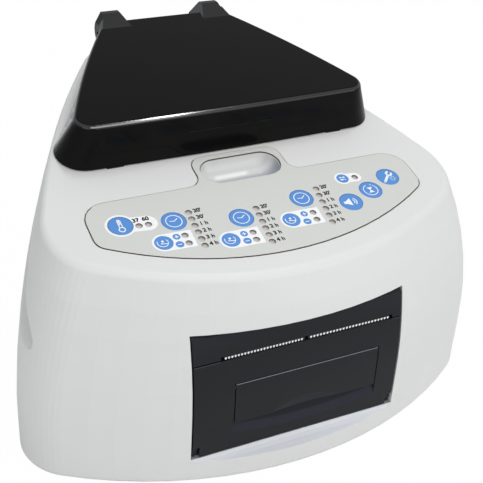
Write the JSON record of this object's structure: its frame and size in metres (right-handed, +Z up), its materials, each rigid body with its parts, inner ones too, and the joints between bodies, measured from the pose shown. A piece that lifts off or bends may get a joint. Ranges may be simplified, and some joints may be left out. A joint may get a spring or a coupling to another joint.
{
  "type": "biological indicator reader incubator",
  "caption": "Bench-top reader-incubator for sterilisation indicator vials: sloped key panel, dark hinged lid over a dry block, and a built-in strip printer in front.",
  "frame": {"origin": "on the bench, under the middle of the footprint box", "axes": "+X to the right seen from the front, +Y to the back (the lid hinge), +Z up"},
  "size_m": [0.231, 0.2027, 0.159],
  "materials": {
    "shell_white": "satin moulded ABS",
    "base_grey": "moulded ABS",
    "foot_rubber": "matte",
    "steel": "plated steel",
    "overlay_grey": "printed polyester film",
    "lens_clear": "translucent acrylic",
    "board_green": "solder mask",
    "chip_black": "moulded epoxy",
    "dark_plastic": "satin black",
    "printer_black": "fine texture",
    "block_alu": "machined",
    "foam_white": "silicone foam",
    "film_amber": "polyimide film",
    "gear_white": "acetal",
    "brass": "machined",
    "ceramic": "glazed ceramic",
    "roller_rubber": "ground rubber",
    "paper": "thermal paper",
    "card": "wound card",
    "key_blue": "printed",
    "seal_black": "foam rubber",
    "shell_metal": "plated"
  },
  "bodies": {
    "housing": {"upper_housing": "shell_white", "base_plate": "base_grey", "rubber_feet": "foot_rubber", "base_screws": "steel", "key_overlay": "overlay_grey", "lamp_lenses": "lens_clear", "keypad_board": "board_green", "key_switches": "chip_black", "well_frame": "dark_plastic", "block_front": "block_alu", "block_middle": "block_alu", "block_rear": "block_alu", "block_insulation": "foam_white", "heater_film": "film_amber", "reader_board": "board_green", "optics_set": "chip_black", "block_carrier": "printer_black", "temp_sensor": "shell_metal", "thermal_cutout": "ceramic", "main_board": "board_green", "board_chips": "chip_black", "buzzer": "chip_black", "dc_inlet": "chip_black", "data_socket": "shell_metal", "hinge_bracket": "dark_plastic", "printer_frame": "printer_black", "printer_band": "printer_black", "tear_bar": "shell_metal", "print_head": "ceramic", "head_springs": "steel", "step_motor": "shell_metal", "idler_pin": "steel", "roll_spindle": "printer_black", "head_ribbon": "foam_white", "inner_screws": "steel"},
    "lid": {"lid_shell": "dark_plastic", "lid_liner": "dark_plastic", "lid_seal": "seal_black", "lid_bumpers": "seal_black", "hinge_pin": "steel"},
    "paper_door": {"printer_door": "printer_black", "door_pins": "steel", "platen_bracket": "steel", "lever_pin": "steel"},
    "latch": {"latch_lever": "printer_black", "lever_spring": "steel"},
    "platen": {"platen_shaft": "steel", "platen_rubber": "roller_rubber", "platen_gear": "gear_white"},
    "idler": {"idler_gear": "gear_white"},
    "pinion": {"motor_pinion": "brass"},
    "paper": {"paper_roll": "paper", "paper_core": "card"},
    "key_heat": {"key_heat": "key_blue"},
    "key_timer_a": {"key_timer_a": "key_blue"},
    "key_timer_b": {"key_timer_b": "key_blue"},
    "key_timer_c": {"key_timer_c": "key_blue"},
    "key_sound": {"key_sound": "key_blue"},
    "key_cycle": {"key_cycle": "key_blue"},
    "key_setup": {"key_setup": "key_blue"}
  },
  "joints": [
    {"name": "lid_hinge", "type": "hinge", "parent": "housing", "child": "lid", "pos_m": [0, 0.0784, 0.149], "axis": [1, 0, 0], "range_deg": [-100, 0]},
    {"name": "door_hinge", "type": "hinge", "parent": "housing", "child": "paper_door", "pos_m": [0, -0.0905, 0.0188], "axis": [1, 0, 0], "range_deg": [0, 72]},
    {"name": "latch_pivot", "type": "hinge", "parent": "paper_door", "child": "latch", "pos_m": [0, -0.0919, 0.0494], "axis": [1, 0, 0], "range_deg": [-25, 0], "stiffness_Nm_per_rad": 0.004, "springref_deg": 11.46},
    {"name": "platen_spin", "type": "hinge", "parent": "paper_door", "child": "platen", "pos_m": [0, -0.084, 0.0575], "axis": [1, 0, 0], "continuous": true},
    {"name": "idler_spin", "type": "hinge", "parent": "housing", "child": "idler", "pos_m": [0, -0.07226, 0.05553], "axis": [1, 0, 0], "continuous": true},
    {"name": "pinion_spin", "type": "hinge", "parent": "housing", "child": "pinion", "pos_m": [0, -0.06477, 0.06385], "axis": [1, 0, 0], "continuous": true},
    {"name": "roll_spin", "type": "hinge", "parent": "housing", "child": "paper", "pos_m": [0, -0.0625, 0.0365], "axis": [1, 0, 0], "continuous": true},
    {"name": "key_heat_press", "type": "slide", "parent": "housing", "child": "key_heat", "axis": [0, 0.2339, -0.9723], "range_m": [0, 0.0004], "stiffness_N_per_m": 2500, "springref_m": -0.0002},
    {"name": "key_timer_a_press", "type": "slide", "parent": "housing", "child": "key_timer_a", "axis": [0, 0.2339, -0.9723], "range_m": [0, 0.0004], "stiffness_N_per_m": 2500, "springref_m": -0.0002},
    {"name": "key_timer_b_press", "type": "slide", "parent": "housing", "child": "key_timer_b", "axis": [0, 0.2339, -0.9723], "range_m": [0, 0.0004], "stiffness_N_per_m": 2500, "springref_m": -0.0002},
    {"name": "key_timer_c_press", "type": "slide", "parent": "housing", "child": "key_timer_c", "axis": [0, 0.2339, -0.9723], "range_m": [0, 0.0004], "stiffness_N_per_m": 2500, "springref_m": -0.0002},
    {"name": "key_sound_press", "type": "slide", "parent": "housing", "child": "key_sound", "axis": [0, 0.2339, -0.9723], "range_m": [0, 0.0004], "stiffness_N_per_m": 2500, "springref_m": -0.0002},
    {"name": "key_cycle_press", "type": "slide", "parent": "housing", "child": "key_cycle", "axis": [0, 0.2339, -0.9723], "range_m": [0, 0.0004], "stiffness_N_per_m": 2500, "springref_m": -0.0002},
    {"name": "key_setup_press", "type": "slide", "parent": "housing", "child": "key_setup", "axis": [0, 0.2339, -0.9723], "range_m": [0, 0.0004], "stiffness_N_per_m": 2500, "springref_m": -0.0002}
  ],
  "couplings": [
    {"joint": "idler_spin", "follows": "platen_spin", "ratio": -0.7},
    {"joint": "pinion_spin", "follows": "platen_spin", "ratio": 1.1667}
  ]
}
